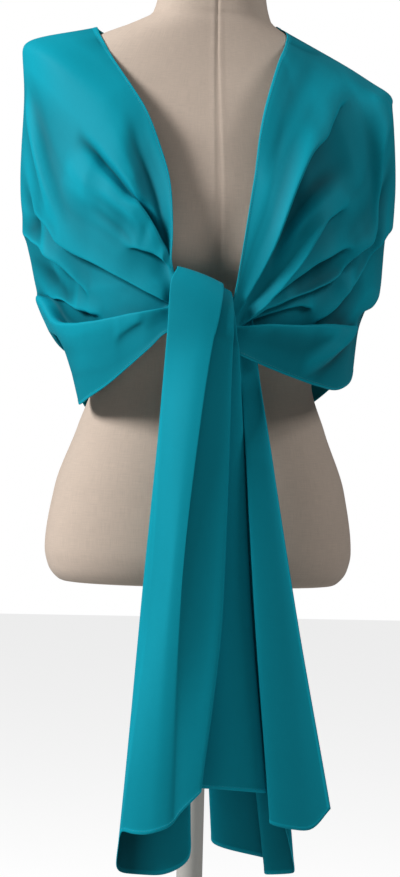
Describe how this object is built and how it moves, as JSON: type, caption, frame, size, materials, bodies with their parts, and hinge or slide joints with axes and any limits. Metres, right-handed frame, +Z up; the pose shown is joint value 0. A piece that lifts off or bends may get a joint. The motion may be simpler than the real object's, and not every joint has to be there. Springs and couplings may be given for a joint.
{
  "type": "evening stole on dress form",
  "caption": "Long plain chiffon stole draped round the shoulders of a limbless dress form on a stand and tied in front in a half knot, with its two ends hanging in pleats.",
  "frame": {"origin": "centre of the base's underside, on the floor", "axes": "+Z up, -Y the way the form faces (the knot is on the -Y side), +X the wearer's left"},
  "size_m": [0.4012, 0.38, 1.4843],
  "materials": {
    "stole_front_right": "soft satin chiffon",
    "stole_back": "soft satin chiffon",
    "stole_front_left": "soft satin chiffon",
    "stole_tail_over": "soft satin chiffon",
    "stole_tail_under": "soft satin chiffon",
    "form_torso": "matt linen",
    "form_neck_cap": "satin",
    "stand_pole": "satin",
    "stand_base": "satin"
  },
  "bodies": {
    "root": {"stole_front_right": "stole_front_right", "stole_back": "stole_back", "stole_front_left": "stole_front_left", "stole_tail_over": "stole_tail_over", "stole_tail_under": "stole_tail_under", "form_torso": "form_torso", "form_neck_cap": "form_neck_cap", "stand_pole": "stand_pole", "stand_base": "stand_base"}
  },
  "joints": []
}
